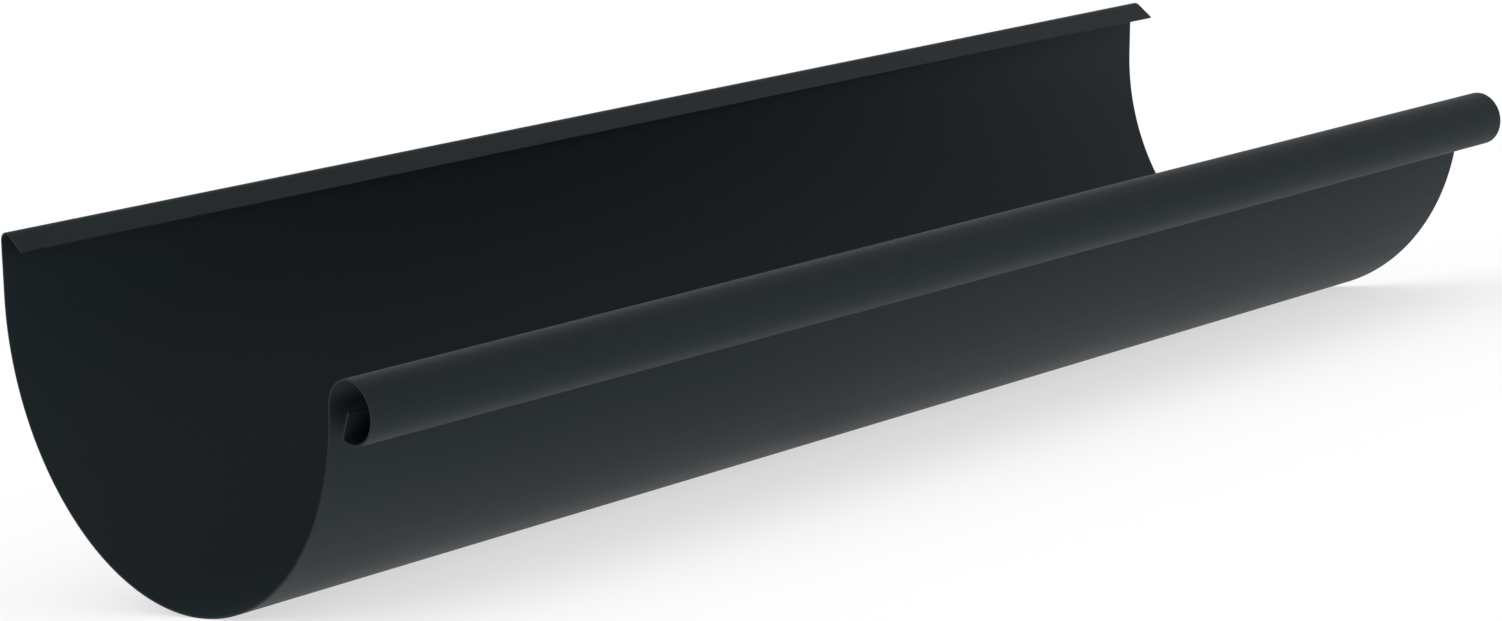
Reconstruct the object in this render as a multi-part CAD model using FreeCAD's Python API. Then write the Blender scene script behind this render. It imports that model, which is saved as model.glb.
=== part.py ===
import FreeCAD, Part
import math
import os

# Half-round eaves gutter, one cut length of roll-formed coated steel sheet.
# Millimetres, +Z up.  X runs along the gutter, -Y is the front edge with the
# bead, +Y is the back edge with the folded lip.  The origin is on the axis of
# the half-round trough, at mid-length.

# Driving dimensions

NODE = "gutter_section"

GUTTER_LENGTH = 495.0       # square cut at both ends
SHEET_THICKNESS = 0.6       # coated steel sheet
TROUGH_RADIUS = 75.0        # water face of the half-round, 150 mm nominal bore

BACK_UPSTAND = 16.6         # straight back wall above the axis of the trough
FOLD_OUTER_RADIUS = 3.0     # rounded top of the back wall
LIP_DROP_ANGLE = 32.4       # degrees, the lip falls this far below level
LIP_STRAIGHT = 7.16         # flat part of the lip

FRONT_UPSTAND = 0.0         # straight front wall above the axis of the trough
BEAD_OUTER_DIAMETER = 18.0  # rolled front edge
BEAD_SWEEP = 287.5          # degrees, from the front wall over the top to the hook
HOOK_INNER_RADIUS = 0.6     # hollow side of the tight bend into the hook
HOOK_LEAN = 19.0            # degrees, the hook flange leans forward from upright
HOOK_STRAIGHT = 7.6         # flat part of the hook flange inside the bead

# Values that follow from them

TROUGH_OUTER_RADIUS = TROUGH_RADIUS + SHEET_THICKNESS
BEAD_OUTER_RADIUS = BEAD_OUTER_DIAMETER / 2.0
BEAD_INNER_RADIUS = BEAD_OUTER_RADIUS - SHEET_THICKNESS


def ray(angle):
    """Unit vector in the plane of the section, angle in degrees from +Y towards +Z."""
    turn = math.radians(angle)
    return FreeCAD.Vector(0.0, math.cos(turn), math.sin(turn))


class SheetRun:
    """Follows the sheet across the section and keeps the edges of its two faces.

    The left face is on the left hand of somebody who walks along the run.  On
    this gutter it is the weather side of the back wall and of the fold, and
    the right face is the other side, one sheet thickness away.
    """

    def __init__(self, start, heading, thickness):
        self.left_point = start
        self.heading = heading
        self.thickness = thickness
        self.left_edges = []
        self.right_edges = []
        self.start_right = self.right_point()

    def right_point(self):
        return self.left_point + ray(self.heading - 90.0) * self.thickness

    def straight(self, length):
        """A flat stretch of the sheet."""
        if length <= 0.0:
            return
        step = ray(self.heading) * length
        left, right = self.left_point, self.right_point()
        self.left_edges.append(Part.LineSegment(left, left + step))
        self.right_edges.append(Part.LineSegment(right, right + step))
        self.left_point = left + step

    def bend(self, turn, inner_radius):
        """A round bend: turn is in degrees, above zero to the left."""
        side = 1.0 if turn > 0.0 else -1.0
        left_radius = inner_radius if side > 0.0 else inner_radius + self.thickness
        right_radius = inner_radius + self.thickness if side > 0.0 else inner_radius
        centre = self.left_point + ray(self.heading + side * 90.0) * left_radius
        start = self.heading - side * 90.0

        def arc(radius):
            points = [centre + ray(start + turn * share) * radius for share in (0.0, 0.5, 1.0)]
            return Part.Arc(*points)

        self.left_edges.append(arc(left_radius))
        self.right_edges.append(arc(right_radius))
        self.left_point = centre + ray(start + turn) * left_radius
        self.heading += turn

    def outline(self):
        """The closed outline: out along the left face and back along the right one."""
        start_cap = Part.LineSegment(self.start_right, self.left_edges[0].StartPoint)
        end_cap = Part.LineSegment(self.left_point, self.right_point())
        curves = [start_cap] + self.left_edges + [end_cap] + self.right_edges[::-1]
        return Part.Wire(Part.__sortEdges__([curve.toShape() for curve in curves]))


def section_face():
    """The sheet's section at x = 0, from the tip of the lip to the tip of the hook."""
    fold_turn = 90.0 + LIP_DROP_ANGLE
    fold_centre = FreeCAD.Vector(0.0, TROUGH_OUTER_RADIUS - FOLD_OUTER_RADIUS, BACK_UPSTAND)
    lip_top_end = fold_centre + ray(fold_turn) * FOLD_OUTER_RADIUS
    lip_tip = lip_top_end - ray(LIP_DROP_ANGLE) * LIP_STRAIGHT

    # The hook flange ends at this heading, leaning forward from upright.
    hook_heading = 90.0 + HOOK_LEAN
    bead_end_heading = BEAD_SWEEP + 90.0 - 360.0

    run = SheetRun(lip_tip, LIP_DROP_ANGLE, SHEET_THICKNESS)
    run.straight(LIP_STRAIGHT)
    run.bend(-fold_turn, FOLD_OUTER_RADIUS - SHEET_THICKNESS)
    run.straight(BACK_UPSTAND)
    run.bend(-180.0, TROUGH_RADIUS)
    run.straight(FRONT_UPSTAND)
    run.bend(BEAD_SWEEP, BEAD_INNER_RADIUS)
    run.bend(hook_heading - bead_end_heading, HOOK_INNER_RADIUS)
    run.straight(HOOK_STRAIGHT)
    return Part.Face(run.outline())


def rest_roll(face):
    """Degrees about +X that bring the centre of mass below the axis of the trough.

    The cut length is loose on a level floor, so it rolls on the round of its
    trough until it hangs still.  The heavier bead side goes down.
    """
    centre = face.CenterOfMass
    return math.degrees(math.atan2(-centre.y, -centre.z))


def gutter():
    """One solid: the section run along the whole length, lying as it rests."""
    face = section_face()
    face.translate(FreeCAD.Vector(-GUTTER_LENGTH / 2.0, 0.0, 0.0))
    solid = face.extrude(FreeCAD.Vector(GUTTER_LENGTH, 0.0, 0.0))
    solid.rotate(FreeCAD.Vector(0.0, 0.0, 0.0), FreeCAD.Vector(1.0, 0.0, 0.0), rest_roll(face))
    return solid


def main():
    os.makedirs("parts", exist_ok=True)
    solid = gutter()
    solid.exportStep("parts/" + NODE + ".step")
    box = solid.BoundBox
    print(NODE, "valid", solid.isValid(), "solids", len(solid.Solids))
    print("volume", round(solid.Volume, 1), "mm3, roll", round(rest_roll(section_face()), 4), "degrees")
    print("box", [round(v, 3) for v in (box.XMin, box.YMin, box.ZMin, box.XMax, box.YMax, box.ZMax)])


main()
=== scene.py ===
import math

import bpy
from mathutils import Matrix, Vector


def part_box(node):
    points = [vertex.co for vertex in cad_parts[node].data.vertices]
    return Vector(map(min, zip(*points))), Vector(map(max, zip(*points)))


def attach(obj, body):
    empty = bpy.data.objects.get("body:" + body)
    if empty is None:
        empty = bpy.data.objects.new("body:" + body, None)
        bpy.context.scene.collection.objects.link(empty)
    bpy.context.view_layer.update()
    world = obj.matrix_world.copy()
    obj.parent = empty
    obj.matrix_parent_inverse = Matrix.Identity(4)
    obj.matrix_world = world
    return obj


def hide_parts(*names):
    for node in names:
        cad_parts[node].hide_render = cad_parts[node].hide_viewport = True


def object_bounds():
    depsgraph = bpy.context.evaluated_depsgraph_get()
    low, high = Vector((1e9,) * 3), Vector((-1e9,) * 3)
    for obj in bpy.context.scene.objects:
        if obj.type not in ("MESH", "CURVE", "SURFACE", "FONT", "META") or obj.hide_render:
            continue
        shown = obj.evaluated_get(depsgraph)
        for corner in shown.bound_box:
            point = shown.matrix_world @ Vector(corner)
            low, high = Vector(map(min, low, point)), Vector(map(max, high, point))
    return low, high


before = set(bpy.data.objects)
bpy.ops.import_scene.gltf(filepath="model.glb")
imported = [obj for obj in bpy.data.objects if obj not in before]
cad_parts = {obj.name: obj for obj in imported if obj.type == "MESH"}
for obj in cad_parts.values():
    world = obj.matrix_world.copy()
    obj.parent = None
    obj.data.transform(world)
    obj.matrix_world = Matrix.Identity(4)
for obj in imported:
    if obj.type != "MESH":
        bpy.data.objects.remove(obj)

# A loose length of half-round eaves gutter on a white floor.
# Metres, in the frame of the part: X runs along the gutter, +Z is up, -Y is the
# front edge with the bead, and the origin is on the axis of the trough.

CAD_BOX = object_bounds()

NODE = "gutter_section"
BODY = "root"

MM = 0.001
QUARTER_TURN = math.radians(90.0)
WHITE = (1.0, 1.0, 1.0, 1.0)

# Sizes of the sheet

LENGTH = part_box(NODE)[1].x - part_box(NODE)[0].x
SHEET = 0.6 * MM
TROUGH_RADIUS = 75.0 * MM        # water face of the half-round
BACK_UPSTAND = 16.6 * MM         # straight back wall above the axis
FOLD_RADIUS = 3.0 * MM           # outer radius of the rounded top
LIP_DROP = 32.4                  # degrees below level
LIP = 7.16 * MM                  # flat part of the lip
BEAD_RADIUS = 9.0 * MM           # outer radius of the rolled front edge
BEAD_SWEEP = 287.5               # degrees, from the front wall to the hook
HOOK_RADIUS = 0.6 * MM           # inner radius of the bend into the hook flange
HOOK_LEAN = 19.0                 # degrees forward from upright
HOOK = 7.6 * MM                  # flat part of the hook flange

CUT_ROUND = 0.07 * MM            # the shears leave the cut ends this round
SLIT_ROUND = 0.10 * MM           # the slit edges of the strip, at the lip and the hook

# Fineness of the mesh

ROUND_STEPS = 4                  # faces round each of those edges
FLAT_STEP = 1.2 * MM             # longest face across a flat stretch
ROW_STEP = 6.0 * MM              # longest face along the gutter
TROUGH_DEGREES = 1.5             # largest turn from face to face in the trough
BEAD_DEGREES = 3.0               # in the bead
TIGHT_DEGREES = 7.5              # and in the two tight bends


def ray(angle):
    """Unit vector across the gutter, angle in degrees from +Y towards +Z."""
    turn = math.radians(angle)
    return Vector((0.0, math.cos(turn), math.sin(turn)))


class SheetRun:
    """Follows the middle of the sheet across the section, from the lip to the hook.

    Each pair is a point on the middle line and the normal on its left hand.
    """

    def __init__(self, middle, heading):
        self.middle = middle
        self.heading = heading
        self.pairs = [(middle, ray(heading + 90.0))]

    def straight(self, length):
        """A flat stretch of the sheet."""
        start = self.middle
        direction = ray(self.heading)
        normal = ray(self.heading + 90.0)
        steps = math.ceil(length / FLAT_STEP)
        for step in range(1, steps + 1):
            self.pairs.append((start + direction * (length * step / steps), normal))
        self.middle = self.pairs[-1][0]

    def bend(self, turn, inner_radius, largest):
        """A round bend: turn is in degrees, above zero to the left."""
        side = 90.0 if turn > 0.0 else -90.0
        radius = inner_radius + SHEET / 2.0
        centre = self.middle + ray(self.heading + side) * radius
        steps = math.ceil(abs(turn) / largest)
        for step in range(1, steps + 1):
            heading = self.heading + turn * step / steps
            self.pairs.append((centre - ray(heading + side) * radius, ray(heading + 90.0)))
        self.heading += turn
        self.middle = self.pairs[-1][0]


def sheet_run():
    """The strip across the section, level as it hangs on its brackets."""
    fold_turn = 90.0 + LIP_DROP
    fold_centre = Vector((0.0, TROUGH_RADIUS + SHEET - FOLD_RADIUS, BACK_UPSTAND))
    fold_start = fold_centre + ray(fold_turn) * (FOLD_RADIUS - SHEET / 2.0)
    run = SheetRun(fold_start - ray(LIP_DROP) * LIP, LIP_DROP)
    run.straight(LIP)
    run.bend(-fold_turn, FOLD_RADIUS - SHEET, TIGHT_DEGREES)
    run.straight(BACK_UPSTAND)
    run.bend(-180.0, TROUGH_RADIUS, TROUGH_DEGREES)
    run.bend(BEAD_SWEEP, BEAD_RADIUS - SHEET, BEAD_DEGREES)
    run.bend(HOOK_LEAN + 360.0 - BEAD_SWEEP, HOOK_RADIUS, TIGHT_DEGREES)
    run.straight(HOOK)
    return run.pairs


def rest_roll(pairs):
    """Radians about +X: the loose length rolls until its mass hangs below the axis."""
    total = 0.0
    moment = Vector((0.0, 0.0, 0.0))
    for (near, _), (far, _) in zip(pairs, pairs[1:]):
        length = (far - near).length
        total += length
        moment += (near + far) / 2.0 * length
    centre = moment / total
    return math.atan2(-centre.y, -centre.z)


def slit_edge(middle, outward, normal, inset):
    """Points round a slit edge of the strip, from its two faces to its tip."""
    corner = SLIT_ROUND - inset
    points = []
    for step in range(ROUND_STEPS + 1):
        turn = QUARTER_TURN * step / ROUND_STEPS
        place = middle + outward * (corner * math.sin(turn) - SLIT_ROUND)
        reach = normal * (SHEET / 2.0 - inset - corner * (1.0 - math.cos(turn)))
        tip = outward * math.sin(turn)
        side = normal * math.cos(turn)
        points.append((place + reach, tip + side, place - reach, tip - side))
    return points


def outline(pairs, inset):
    """The section's closed outline, pulled in by inset: a list of (point, normal)."""
    (first, first_normal), (second, _) = pairs[:2]
    (before_last, _), (last, last_normal) = pairs[-2:]
    reach = SHEET / 2.0 - inset
    both = slit_edge(first, (first - second).normalized(), first_normal, inset)[::-1]
    both += [(middle + normal * reach, normal, middle - normal * reach, -normal)
             for middle, normal in pairs[1:-1]]
    both += slit_edge(last, (last - before_last).normalized(), last_normal, inset)
    left = [(point, normal) for point, normal, _, _ in both]
    right = [(point, normal) for _, _, point, normal in both]
    return left + right[::-1]


def row_stations():
    """Rows along the gutter: (x, inset of the outline, radians its normals lean along X)."""
    inner = LENGTH / 2.0 - CUT_ROUND
    far_end = []
    for step in range(ROUND_STEPS + 1):
        turn = QUARTER_TURN * step / ROUND_STEPS
        far_end.append((inner + CUT_ROUND * math.sin(turn), CUT_ROUND * (1.0 - math.cos(turn)), turn))
    near_end = [(-x, inset, -turn) for x, inset, turn in far_end[::-1]]
    count = math.ceil(2.0 * inner / ROW_STEP)
    between = [(2.0 * inner * i / count - inner, 0.0, 0.0) for i in range(1, count)]
    return near_end + between + far_end


def gutter_mesh():
    """The whole sheet as quads, with exact normals, rolled to where it comes to rest."""
    pairs = sheet_run()
    roll = Matrix.Rotation(rest_roll(pairs), 4, "X")
    points, normals = [], []
    stations = row_stations()
    for x, inset, turn in stations:
        along = Vector((math.sin(turn), 0.0, 0.0))
        for point, normal in outline(pairs, inset):
            points.append(roll @ (point + Vector((x, 0.0, 0.0))))
            normals.append(roll @ (normal * math.cos(turn) + along))

    around = len(points) // len(stations)
    rows = [range(first, first + around) for first in range(0, len(points), around)]
    faces = []
    for near, far in zip(rows, rows[1:]):
        for i in range(around):
            j = (i + 1) % around
            faces.append((near[i], far[i], far[j], near[j]))
    # The left face's point i and the right face's point -1 - i are one sheet apart.
    for i in range(around // 2 - 1):
        near, far = rows[0], rows[-1]
        faces.append((near[i + 1], near[-2 - i], near[-1 - i], near[i]))
        faces.append((far[i], far[-1 - i], far[-2 - i], far[i + 1]))

    mesh = bpy.data.meshes.new("gutter_sheet")
    mesh.from_pydata(points, [], faces)
    mesh.update()
    mesh.polygons.foreach_set("use_smooth", [True] * len(mesh.polygons))
    mesh.normals_split_custom_set_from_vertices([normal.normalized() for normal in normals])
    return mesh


def srgb(red, green, blue):
    """A colour written as on a colour card, 0 to 255, as linear light."""
    def linear(value):
        share = value / 255.0
        return share / 12.92 if share <= 0.04045 else ((share + 0.055) / 1.055) ** 2.4
    return (linear(red), linear(green), linear(blue))


class Nodes:
    """Short calls for building the nodes of a material or of the world."""

    def __init__(self, owner, output):
        owner.use_nodes = True
        self.owner = owner
        self.tree = owner.node_tree
        self.tree.nodes.clear()
        self.output = self.tree.nodes.new(output)

    def add(self, kind, inputs=None, **settings):
        """A node with its settings, and with values or other nodes' sockets as its inputs."""
        node = self.tree.nodes.new(kind)
        for key, value in settings.items():
            setattr(node, key, value)
        for key, value in (inputs or {}).items():
            if isinstance(value, bpy.types.NodeSocket):
                self.tree.links.new(value, node.inputs[key])
            else:
                node.inputs[key].default_value = value
        return node

    def math(self, operation, first, second):
        """The result of one sum, where either side is a number or another node's socket."""
        return self.add("ShaderNodeMath", {0: first, 1: second}, operation=operation).outputs[0]

    def noise(self, place, size, detail):
        """Soft noise from 0 to 1, with features about as wide as the given size."""
        inputs = {"Vector": place, "Scale": 1.0 / size, "Detail": detail}
        return self.add("ShaderNodeTexNoise", inputs).outputs["Fac"]

    def swing(self, noise, middle, most):
        """The noise as a value that swings round the middle by at most the given amount."""
        limits = {"Value": noise, "To Min": middle - most, "To Max": middle + most}
        return self.add("ShaderNodeMapRange", limits).outputs["Result"]

    def relief(self, noise, height, under=None):
        """Raises the surface by the noise, over the relief that is already there."""
        inputs = {"Height": noise, "Strength": 1.0, "Distance": height}
        if under:
            inputs["Normal"] = under
        return self.add("ShaderNodeBump", inputs).outputs["Normal"]

    def surface(self, socket):
        """Ends the tree with this shader, and hands back what owns it."""
        self.tree.links.new(socket, self.output.inputs["Surface"])
        return self.owner


def material_nodes(name):
    return Nodes(bpy.data.materials.new(name), "ShaderNodeOutputMaterial")


COAT_COLOUR = srgb(38, 47, 51)
COAT_ROUGHNESS = 0.575
COAT_GLOSS = 0.125               # a matt coat reflects less than plain lacquer, which is 0.5
COAT_IOR = 1.5

# Detail of the coat: sizes along the surface, heights above it, and the most
# that its tone or roughness swings either way

GRAIN_SIZE = 0.45 * MM           # fine texture of the matt coat
GRAIN_HEIGHT = 0.008 * MM
GRAIN_TONE = 0.24                # darker and paler grains of pigment
GRAIN_DETAIL = 2.0
PEEL_SIZE = 3.2 * MM             # faint orange peel of the rolled-on paint
PEEL_HEIGHT = 0.020 * MM
PEEL_DETAIL = 1.0
CLOUD_SIZE = 45.0 * MM           # slow drift of shade and gloss over the sheet
CLOUD_TONE = 0.05
CLOUD_ROUGHNESS = 0.03
CLOUD_DETAIL = 3.0
STREAK_WIDTH = 1.6 * MM          # the forming rolls polish faint lines along the length
STREAK_SHARE = 0.008             # their width as a share of their length
STREAK_ROUGHNESS = 0.035
STREAK_DETAIL = 2.0


def anthracite_coat():
    """Matt anthracite paint: fine grain, faint orange peel, roll lines along the length."""
    nodes = material_nodes("anthracite_coat")
    place = nodes.add("ShaderNodeTexCoord").outputs["Object"]
    shrink = {0: place, 1: (STREAK_SHARE, 1.0, 1.0)}
    lengthwise = nodes.add("ShaderNodeVectorMath", shrink, operation="MULTIPLY").outputs["Vector"]
    grain = nodes.noise(place, GRAIN_SIZE, GRAIN_DETAIL)
    peel = nodes.noise(place, PEEL_SIZE, PEEL_DETAIL)
    cloud = nodes.noise(place, CLOUD_SIZE, CLOUD_DETAIL)
    streak = nodes.noise(lengthwise, STREAK_WIDTH, STREAK_DETAIL)

    grain_tone = nodes.swing(grain, 1.0, GRAIN_TONE)
    cloud_tone = nodes.swing(cloud, 1.0, CLOUD_TONE)
    toned = {0: COAT_COLOUR, "Scale": nodes.math("MULTIPLY", grain_tone, cloud_tone)}
    cloud_roughness = nodes.swing(cloud, COAT_ROUGHNESS, CLOUD_ROUGHNESS)
    streak_roughness = nodes.swing(streak, 0.0, STREAK_ROUGHNESS)
    shader = nodes.add("ShaderNodeBsdfPrincipled", {
        "Base Color": nodes.add("ShaderNodeVectorMath", toned, operation="SCALE").outputs["Vector"],
        "Roughness": nodes.math("ADD", cloud_roughness, streak_roughness),
        "IOR": COAT_IOR,
        "Specular IOR Level": COAT_GLOSS,
        "Normal": nodes.relief(grain, GRAIN_HEIGHT, nodes.relief(peel, PEEL_HEIGHT)),
    })
    return nodes.surface(shader.outputs["BSDF"])


def add_gutter():
    piece = bpy.data.objects.new("gutter_sheet", gutter_mesh())
    bpy.context.scene.collection.objects.link(piece)
    piece.data.materials.append(anthracite_coat())
    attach(piece, BODY)
    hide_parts(NODE)


# Floor, sky and light; a level of 1 is white

FLOOR_HALF = 30.0                # metres from its middle to each side
SHADOW_TO_CAMERA = 0.35          # how much of its own shading the white floor shows to the camera
SKY_LEVEL = 0.22                 # plain light from all round

# Each lamp: its level, and in degrees half its width and how high it stands

FLOOR_LAMP = (0.88, 70.0, 90.0)  # so wide that its shadow is very soft
FRONT_LAMP = (0.205, 30.0, 10.0)


def white_share(nodes, camera):
    """How white the surroundings show: this share to the camera, fully in gloss and glass, else 0."""
    rays = nodes.add("ShaderNodeLightPath").outputs
    seen = nodes.math("MULTIPLY", rays["Is Camera Ray"], camera)
    mirrored = nodes.math("MAXIMUM", rays["Is Glossy Ray"], rays["Is Transmission Ray"])
    return nodes.math("MAXIMUM", seen, mirrored)


def white_floor():
    """White paint, lifted towards white for the camera and white in reflections."""
    nodes = material_nodes("floor")
    matt = nodes.add("ShaderNodeBsdfDiffuse", {"Color": WHITE})
    glow = nodes.add("ShaderNodeEmission", {"Color": WHITE, "Strength": 1.0})
    share = white_share(nodes, 1.0 - SHADOW_TO_CAMERA)
    mix = nodes.add("ShaderNodeMixShader", {0: share, 1: matt.outputs[0], 2: glow.outputs[0]})
    return nodes.surface(mix.outputs[0])


def add_floor():
    level = CAD_BOX[0].z
    reach = FLOOR_HALF
    corners = [(-reach, -reach, level), (reach, -reach, level),
               (reach, reach, level), (-reach, reach, level)]
    mesh = bpy.data.meshes.new("floor")
    mesh.from_pydata(corners, [], [(0, 1, 2, 3)])
    mesh.materials.append(white_floor())
    floor = bpy.data.objects.new("floor", mesh)
    bpy.context.scene.collection.objects.link(floor)
    return floor


def soft_lamp(name, level, half_angle, elevation):
    """A wide soft lamp far away on the gutter's front side; its whole disc has the level."""
    half = math.radians(half_angle)
    data = bpy.data.lights.new(name, "SUN")
    data.angle = 2.0 * half
    data.energy = level * math.pi * math.sin(half) ** 2
    lamp = bpy.data.objects.new(name, data)
    lamp.rotation_euler = (math.radians(90.0 - elevation), 0.0, 0.0)
    bpy.context.scene.collection.objects.link(lamp)
    return lamp


def add_lamps(floor):
    """One lamp for the floor alone, which lights the sheet from below, and one in front."""
    lit = bpy.data.collections.new("lit_by_floor_lamp")
    lit.objects.link(floor)
    soft_lamp("floor_lamp", *FLOOR_LAMP).light_linking.receiver_collection = lit
    soft_lamp("front_lamp", *FRONT_LAMP)


def add_sky():
    """White to the camera and in reflections, and a plain lower level as light on matt surfaces."""
    world = bpy.data.worlds.new("studio")
    bpy.context.scene.world = world
    nodes = Nodes(world, "ShaderNodeOutputWorld")
    levels = {"Value": white_share(nodes, 1.0), "To Min": SKY_LEVEL, "To Max": 1.0}
    level = nodes.add("ShaderNodeMapRange", levels).outputs["Result"]
    sky = nodes.add("ShaderNodeBackground", {"Color": WHITE, "Strength": level})
    nodes.surface(sky.outputs["Background"])


# The camera, placed for the gutter as it hangs level; it rolls with the gutter

FRAME_WIDTH = 1502.0                   # pixels
FRAME_HEIGHT = 621.0
FOCAL_PIXELS = 3709.96
AXIS_PIXEL = (809.72, 282.37)          # where the optical axis meets the frame
SENSOR_WIDTH = 36.0                    # millimetres, as the lens is
CAMERA_PLACE = Vector((-806.66, -813.81, 280.43)) * MM
CAMERA_AZIMUTH = math.radians(45.156)  # from +X towards +Y
CAMERA_DIP = math.radians(15.074)      # below level
CLIP_START = 0.05
CLIP_END = 100.0


def add_camera(roll):
    data = bpy.data.cameras.new("camera")
    data.sensor_fit = "HORIZONTAL"
    data.sensor_width = SENSOR_WIDTH
    data.lens = FOCAL_PIXELS * SENSOR_WIDTH / FRAME_WIDTH
    data.shift_x = (FRAME_WIDTH / 2.0 - AXIS_PIXEL[0]) / FRAME_WIDTH
    data.shift_y = (AXIS_PIXEL[1] - FRAME_HEIGHT / 2.0) / FRAME_WIDTH
    data.clip_start = CLIP_START
    data.clip_end = CLIP_END
    camera = bpy.data.objects.new("camera", data)
    bpy.context.scene.collection.objects.link(camera)
    level_reach = math.cos(CAMERA_DIP)
    forward = Vector((level_reach * math.cos(CAMERA_AZIMUTH), level_reach * math.sin(CAMERA_AZIMUTH),
                      -math.sin(CAMERA_DIP)))
    turn = forward.to_track_quat("-Z", "Y").to_matrix().to_4x4()
    camera.matrix_world = Matrix.Rotation(roll, 4, "X") @ Matrix.Translation(CAMERA_PLACE) @ turn
    bpy.context.scene.camera = camera


add_camera(rest_roll(sheet_run()))
add_gutter()
add_lamps(add_floor())
add_sky()

bpy.context.scene.view_settings.view_transform = "Standard"
